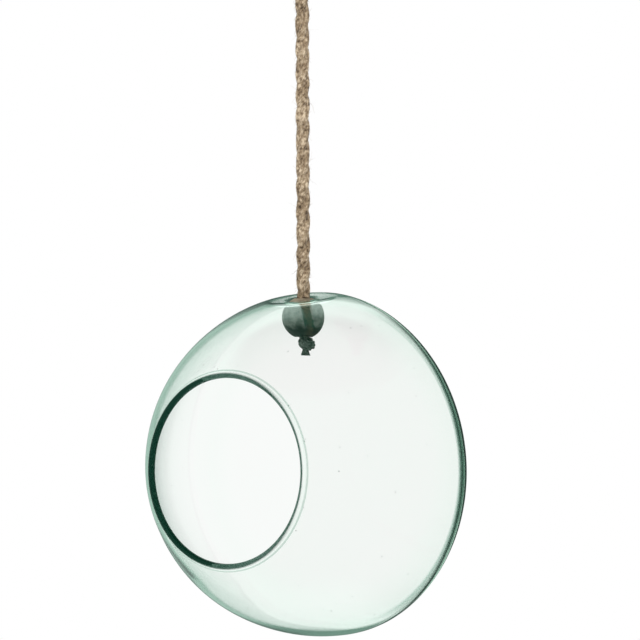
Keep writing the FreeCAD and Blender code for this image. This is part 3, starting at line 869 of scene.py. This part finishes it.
def stadium(share):
    # Points and outward directions on a stadium, two half circles joined by straight sides, at
    # shares of its length from its left end
    side, arc = 2 * wraps["half"], math.pi * wraps["round"]
    run = (share % 1.0) * 2 * (side + arc)
    run = (run + arc / 2) % (2 * (side + arc))
    secondHalf = run >= side + arc
    run = np.where(secondHalf, run - side - arc, run)
    swing = np.clip(run / wraps["round"], 0, math.pi)
    onward = np.clip(run - arc, 0, side) - wraps["half"]
    sign = np.where(secondHalf, -1.0, 1.0)
    out = np.column_stack([-np.sin(swing), np.cos(swing)]) * sign[:, None]
    return wraps["round"] * out + np.outer(onward * sign, [1.0, 0.0]), out


wound = np.linspace(0, wraps["turns"], wraps["points"])
flat, outFlat = stadium(wound)
settle = smoothStep(np.minimum(wound, wraps["turns"] - wound) / wraps["tuckTurn"])
pull = 1 - wraps["tuck"] + wraps["tuck"] * settle
height = wraps["low"] + (wraps["high"] - wraps["low"]) * wound / wraps["turns"]
height = height + drift(wound, *wraps["unevenHeight"])
wrapTubes = layRope(np.column_stack([flat * pull[:, None], height]),
                    np.column_stack([outFlat, np.zeros(len(wound))]), {**rope, **wraps}, wraps["tapers"])
loopKnot = newMesh("loopKnot", juteShader.block, *closedTubes(wrapTubes))
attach(loopKnot, "root")
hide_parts("loop_knot")
print("loop knot wound")

ropeFuzz = newMesh("ropeFuzz", juteShader.block, *fibreTubes(ropeTubes + wrapTubes))
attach(ropeFuzz, "root")
print("fibres laid")

# Stopper: the rope thins into a cord through the bead and ends in a knot and a frayed tail
stopper = {
    "neck": {"width": 0.0058, "strand": 0.0027, "lay": 0.030, "step": 0.0005},  # in the bead's bore
    "knot": {"width": 0.0040, "strand": 0.0021, "lay": 0.019, "step": 0.0004},
    "tail": {"width": 0.0042, "strand": 0.0020, "lay": 0.028, "step": 0.0004},
    "around": 16,
    "yarns": 5,
    "neckTapers": (0.9, 0.8),
    "tailTapers": (0.9, 0.95),
    "neckOver": 0.001,  # how far it reaches over the bead
    "neckUnder": 0.0035,  # and under it
    "knotDrop": 0.0041,  # of the knot's middle under the bead
    "knotRound": 0.0038,  # of the knot's turns, to the middle of the cord
    "knotFlat": 0.68,  # its height as a share of its width
    "knotTurns": 3.3,
    "knotLean": 24.0,  # degrees
    "knotShift": (0.0017, 0.0013),  # of the knot beside the cord
    "knotPolar": (0.16, 0.68),  # start and length of the winding, in half turns from its top
    "knotPoints": 420,
    "tailShifts": ((0.0006, 0.0004), (0.0010, 0.0006), (0.0012, 0.0006)),
    "tailHeights": (0.001, -0.0045),  # from the knot's middle
    "tailEnd": 0.0012,  # above the fray's end
    "frayShift": (0.0011, 0.0006),
    "frayStart": 0.0040,  # under the knot's middle
    "frayFibres": 60,
    "frayWidth": 0.0009,
    "frayStep": 0.0012,
    "frayGrid": (6, 6),  # points along a fibre and sides
    "frayUneven": 0.0012,
    "fraySpread": 0.0030,
    "frayGather": 0.55,  # of the spread, at its top
    "frayBend": 1.5,  # the higher, the lower down it spreads
    "frayThinning": 0.4,
}
knotMiddle = beadLow[2] - stopper["knotDrop"]


def woundKnot():
    # A cord wound into a leaning ball of a few turns
    start, length = stopper["knotPolar"]
    done = np.linspace(0, 1, stopper["knotPoints"])
    polar = math.pi * (start + length * done)
    swing = 2 * math.pi * stopper["knotTurns"] * done
    x, y = np.sin(polar) * np.cos(swing), np.sin(polar) * np.sin(swing)
    z = stopper["knotFlat"] * np.cos(polar)
    lean = math.radians(stopper["knotLean"])
    out = np.column_stack([x * math.cos(lean) + z * math.sin(lean), y,
                           z * math.cos(lean) - x * math.sin(lean)])
    line = out * stopper["knotRound"] + np.array([*stopper["knotShift"], knotMiddle])
    return layRope(line, out, {**stopper, **stopper["knot"]})


def frayedEnd():
    # Short thin tubes that spread downwards, the more the lower
    count, (rows, sides) = stopper["frayFibres"], stopper["frayGrid"]
    spread = np.sqrt(rng.uniform(0, 1, count)) * stopper["fraySpread"]
    bearing = rng.uniform(0, 2 * math.pi, count)
    drop = rng.uniform(0.0, stopper["frayUneven"], count)
    down = np.linspace(0, 1, rows)[:, None]
    top = knotMiddle - stopper["frayStart"]
    gather = stopper["frayGather"]
    spread = spread * (gather + (1 - gather) * down ** stopper["frayBend"])
    lines = np.stack([stopper["frayShift"][0] + np.cos(bearing) * spread,
                      stopper["frayShift"][1] + np.sin(bearing) * spread,
                      top + (tailLow + drop - top) * down], axis=-1).transpose(1, 0, 2)
    tubes = []
    for line in lines:
        centre, at = evenly(line, stopper["frayStep"])
        half = stopper["frayWidth"] / 2 * (1 - stopper["frayThinning"] * np.linspace(0, 1, len(centre)))
        ring = circles(*frames(centre, acrossRope), sides)
        tubes.append((centre[:, None, :] + half[:, None, None] * ring, at))
    return tubes


neckLine = np.outer([beadHigh[2] + stopper["neckOver"], beadLow[2] - stopper["neckUnder"]], upAxis)
tailTops = [knotMiddle + height for height in stopper["tailHeights"]]
tailLine = np.column_stack([stopper["tailShifts"], [*tailTops, tailLow + stopper["tailEnd"]]])
knotTubes = woundKnot()
neckTubes = layRope(neckLine, acrossRope[None], {**stopper, **stopper["neck"]}, stopper["neckTapers"])
tailTubes = layRope(tailLine, acrossRope[None], {**stopper, **stopper["tail"]}, stopper["tailTapers"])
stopperTubes = neckTubes + knotTubes + tailTubes + frayedEnd()

# Painted shade: the cord is the rope's jute, coloured dark grey-green as a shaded copy of it
cord = {
    "dark": colour(0.030, 0.060, 0.046),
    "light": colour(0.34, 0.43, 0.37),
    "fibreScale": (26.0, 420.0, 1.0),  # round a strand and along it
    "patchScale": 420.0,
    "toneShares": (0.6, 0.4),  # of the fibres and the patches
    "tone": (0.36, 0.66),
    "bump": (0.5, 0.0004),  # strength and distance
}
cordShader = Shader("shadedJuteCord")
cordSpace = cordShader.stretched(cordShader.coordinates("UV"), cord["fibreScale"])
cordNoise = cordShader.noise(cordSpace, 1.0, 3.0)
cordPatch = cordShader.noise(cordShader.coordinates("Object"), cord["patchScale"], 2.0)
fibreShare, patchShare = cord["toneShares"]
cordTone = (cordNoise * fibreShare + cordPatch * patchShare).ramp(*cord["tone"])
cordShader.finish({
    "Base Color": cordShader.mix(cordTone, cord["dark"], cord["light"]), "Roughness": 0.9,
    "Normal": cordShader.bump(cordNoise, *cord["bump"]), "Specular IOR Level": 0.2})
stopperKnot = newMesh("stopperKnot", cordShader.block, *closedTubes(stopperTubes))
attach(stopperKnot, "root")
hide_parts("stopper_knot")
print("stopper knotted")

# Wooden bead: a bored ball, bare brown wood on top and painted dark grey-green inside the glass, which is
# painted shade
bead = {
    "bore": 0.0036,
    "boreRounding": 0.0006,
    "flatRounding": 0.0008,
    "around": 128,
    "sideRows": 72,
    "edgeRows": 8,
    "boreRows": 18,
    "grainScale": (150.0, 150.0, 520.0),
    "blotchScale": 230.0,
    # Painted shade: the bead's dark grey-green tones under the glass, a shaded copy of its brown wood
    "shadedWood": (colour(0.200, 0.270, 0.225), colour(0.42, 0.50, 0.44)),
    "shadedWoodShares": (0.6, 0.4),  # of the blotches and the grain
    "shadedWoodTone": (0.38, 0.64),
    "bare": (colour(0.16, 0.125, 0.082), colour(0.30, 0.25, 0.175)),
    "bareTone": (0.35, 0.65),
    "bareFrom": (0.0050, 0.0036),  # under the bead's top
    "bareWander": 0.0016,  # of its edge
    "reflectedStripe": colour(0.002, 0.115, 0.082),  # painted reflection: the dark upright stripe where the rope is mirrored in the glass in front of the bead
    "stripeAside": 0.0027,  # beside the axis
    "stripeLean": 0.27,
    "stripeHalf": (0.0036, 0.0024),
    "stripeWander": 0.0015,
    "stripeFront": (0.0, 0.002),  # in front of the axis
    "shade": colour(0.004, 0.016, 0.010),  # painted shade, darker towards the bottom
    "shadeUnder": (0.0085, 0.0030),  # the bead's middle
    "shadeWander": 0.006,
    "bump": (0.25, 0.0004),  # strength and distance
    "bumpBlotches": 0.5,  # share of the blotches in it
}
beadMiddle = (beadLow[2] + beadHigh[2]) / 2
beadRadius = (beadHigh[0] - beadLow[0]) / 2
boreHalf = (beadHigh[2] - beadLow[2]) / 2


def turnBead():
    # The profile goes down the ball's outside, over the lower flat and its rounded edges, up the
    # bore and back over the upper flat; it is held as distances from the axis and heights
    flatEdge, boreEdge, sideRows = bead["flatRounding"], bead["boreRounding"], bead["sideRows"]
    flatOut = math.sqrt((beadRadius - flatEdge) ** 2 - (boreHalf - flatEdge) ** 2)
    turn = math.atan2(flatOut, boreHalf - flatEdge)
    side = np.linspace(turn, math.pi - turn, sideRows)
    edge = np.linspace(math.pi - turn, math.pi, bead["edgeRows"])[1:]
    rim = np.linspace(math.pi, 1.5 * math.pi, bead["edgeRows"])
    out = np.concatenate([beadRadius * np.sin(side), flatOut + flatEdge * np.sin(edge),
                          bead["bore"] + boreEdge + boreEdge * np.sin(rim)])
    up = np.concatenate([beadRadius * np.cos(side), flatEdge - boreHalf + flatEdge * np.cos(edge),
                         boreEdge - boreHalf + boreEdge * np.cos(rim)])
    bore = np.linspace(boreEdge - boreHalf, boreHalf - boreEdge, bead["boreRows"] + 2)[1:-1]
    out = np.concatenate([out, np.full(len(bore), bead["bore"]), out[:sideRows - 1:-1]])
    up = np.concatenate([up, bore, -up[:sideRows - 1:-1]])
    points = spun(out, beadMiddle + up, bead["around"])
    return points.reshape(-1, 3), [gridFaces(numbered(len(out), bead["around"]), closedRows=True)]


beadShader = Shader("woodWithPaintedShade")
beadSpace = beadShader.coordinates("Object")
grain = beadShader.noise(beadShader.stretched(beadSpace, bead["grainScale"]), 1.0, 4.0, 0.6)
blotch = beadShader.noise(beadSpace, bead["blotchScale"], 3.0)
upDown = beadShader.part(beadSpace, 2)
# Painted shade: the dark grey-green of the bead under the glass
blotchShare, grainShare = bead["shadedWoodShares"]
shadedWoodTone = (blotch * blotchShare + grain * grainShare).ramp(*bead["shadedWoodTone"])
shadedWood = beadShader.mix(shadedWoodTone, *bead["shadedWood"])
# Painted reflection: a dark upright stripe on the bead's front
reflectedStripe = beadShader.reach(beadSpace, photoRight) - bead["stripeAside"]
reflectedStripe = reflectedStripe + (upDown - beadMiddle) * bead["stripeLean"] + (grain - 0.5) * bead["stripeWander"]
reflectedStripe = reflectedStripe.absolute().ramp(*bead["stripeHalf"])
reflectedStripe = reflectedStripe * beadShader.reach(beadSpace, photoFront).ramp(*bead["stripeFront"])
shadedWood = beadShader.mix(reflectedStripe, shadedWood, bead["reflectedStripe"])
# Painted shade: darker towards the bottom
shade = upDown + (blotch - 0.5) * bead["shadeWander"]
shade = shade.ramp(*[beadMiddle - drop for drop in bead["shadeUnder"]])
shadedWood = beadShader.mix(shade, bead["shade"], shadedWood)
bare = beadShader.mix(grain.ramp(*bead["bareTone"]), *bead["bare"])
topShare = upDown + (blotch - 0.5) * bead["bareWander"]
topShare = topShare.ramp(*[beadHigh[2] - drop for drop in bead["bareFrom"]])
beadShader.finish({
    "Base Color": beadShader.mix(topShare, shadedWood, bare), "Roughness": 0.6, "Specular IOR Level": 0.35,
    "Normal": beadShader.bump(grain + blotch * bead["bumpBlotches"], *bead["bump"])})
stopperBead = newMesh("stopperBead", beadShader.block, *turnBead())
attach(stopperBead, "root")
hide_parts("stopper_bead")
print("bead turned")


# Studio: white surroundings, a pale floor under the hanging object and soft lamps
studio = {
    "floorDrop": 0.35,  # of the floor under the glass
    "floorRadius": 2.1,
    "floorMiddle": 0.1,  # radius of the floor's first ring
    "floorGrid": (6, 96),  # rings and columns
    "floorColour": colour(0.86, 0.86, 0.86),
    "leftEdge": colour(0.44, 0.59, 0.52),  # what the glass mirrors round its outline
    "rightEdge": colour(0.09, 0.17, 0.135),
    "topEdge": colour(0.15, 0.24, 0.20),
    "lowEdge": colour(0.20, 0.31, 0.26),
    "leftFrom": (-0.06, -0.18),  # where each begins and is full, as shares to the right or upwards
    "topFrom": (0.05, 0.30),
    "lowFrom": (-0.12, -0.24),
    "edgeEnd": (36, 30),  # degrees from the view's middle
    "leftColour": colour(0.88, 0.94, 0.91),  # and farther to the left, above and below
    "rightColour": colour(0.50, 0.62, 0.56),
    "rightFrom": (0.15, 0.50),
    "rightDark": colour(0.16, 0.28, 0.22),
    "rightDarkEnd": (52, 44),
    "frontColour": colour(0.50, 0.53, 0.51),  # and behind the camera
    "frontEnd": (-0.35, 0.25),  # as shares ahead of it
    "overheadColour": colour(0.10, 0.17, 0.14),
    "overheadFrom": (0.70, 0.85),
    "overheadEnd": (0.60, 0.45),
    "lowColour": colour(0.10, 0.11, 0.105),  # soft light from below
    "highColour": colour(0.80, 0.81, 0.80),  # and from above
    "lampAim": (0.0, 0.0, -0.3),
    "lampSide": 1.2,
    "keyPlace": (-0.4, -1.6, 0.6),
    "keyPower": 11.5,
    "fillPlace": (1.6, -0.6, 0.2),
    "fillPower": 10.0,
}


def cosines(degrees):
    return [math.cos(math.radians(angle)) for angle in degrees]


def makeSurround():
    # White for the camera, and seen straight through glass; tones of green in what glass mirrors,
    # by direction from the camera; soft grey light for everything else
    world = Shader("studioSurround", world=True)
    rays = world.node("LightPath")
    isCamera, isTransmission, glossyDepth, diffuseDepth = [Value(world, rays.outputs[name]) for name in (
        "Is Camera Ray", "Is Transmission Ray", "Glossy Depth", "Diffuse Depth")]
    straight = (isTransmission * (1 - glossyDepth - diffuseDepth).clamp() + isCamera).clamp()
    direction = world.coordinates("Generated")
    camera = scene.camera.matrix_world
    toRight, upward, facing = [world.reach(direction, sign * np.array(camera.col[axis])[:3])
                               for axis, sign in enumerate((1, 1, -1))]
    rightShare = facing.ramp(*cosines(studio["rightDarkEnd"]))
    rightSide = world.mix(rightShare, studio["rightColour"], studio["rightDark"])
    sides = world.mix(toRight.ramp(*studio["rightFrom"]), studio["leftColour"], rightSide)
    edges = world.mix(upward.ramp(*studio["topFrom"]), studio["rightEdge"], studio["topEdge"])
    edges = world.mix(upward.ramp(*studio["lowFrom"]), edges, studio["lowEdge"])
    edges = world.mix(toRight.ramp(*studio["leftFrom"]), edges, studio["leftEdge"])
    forward = world.mix(facing.ramp(*cosines(studio["edgeEnd"])), sides, edges)
    mirrored = world.mix(facing.ramp(*studio["frontEnd"]), studio["frontColour"], forward)
    overhead = upward.ramp(*studio["overheadFrom"]) * facing.ramp(*studio["overheadEnd"])
    mirrored = world.mix(overhead, mirrored, studio["overheadColour"])
    soft = world.mix(world.part(direction, 2).ramp(-1.0, 1.0), studio["lowColour"], studio["highColour"])
    seen = world.mix(straight, world.mix(diffuseDepth.clamp(), mirrored, soft), colour(1, 1, 1))
    background = world.add("Background", inputs={"Color": seen, "Strength": 1.0})
    world.node("OutputWorld", inputs={"Surface": background})
    scene.world = world.block


def makeFloor():
    # A disc that lamps and shadows show on, and that mirrored and bent rays pass through
    shader = Shader("paleFloor")
    rays = shader.node("LightPath")
    isGlossy, isTransmission = [Value(shader, rays.outputs[name])
                                for name in ("Is Glossy Ray", "Is Transmission Ray")]
    paint = shader.add("BsdfDiffuse", inputs={"Color": studio["floorColour"]})
    finish = shader.add("MixShader", inputs={
        0: (isGlossy + isTransmission).clamp(), 1: paint, 2: shader.add("BsdfTransparent")})
    shader.node("OutputMaterial", inputs={"Surface": finish})
    count, columns = studio["floorGrid"]
    height = ballLow[2] - studio["floorDrop"]
    rings = np.linspace(studio["floorMiddle"], studio["floorRadius"], count)
    points = np.vstack([height * upAxis, spun(rings, np.full(count, height), columns).reshape(-1, 3)])
    grid = numbered(count, columns, 1)
    floor = newMesh("floor", shader.block, points, [gridFaces(grid), fanFaces(grid[0], 0)[:, [2, 0, 1]]])


def makeLamp(name, place, power):
    data = bpy.data.lights.new(name, "AREA")
    data.shape, data.size, data.energy = "SQUARE", studio["lampSide"], power
    light = bpy.data.objects.new(name, data)
    light.visible_glossy = False
    light.visible_transmission = False
    addTurned(light, place, lookingFrom(np.array(place), np.array(studio["lampAim"])))


makeSurround()
makeFloor()
makeLamp("keyLight", studio["keyPlace"], studio["keyPower"])
makeLamp("fillLight", studio["fillPlace"], studio["fillPower"])
scene.view_settings.view_transform = "Standard"
print("studio set")
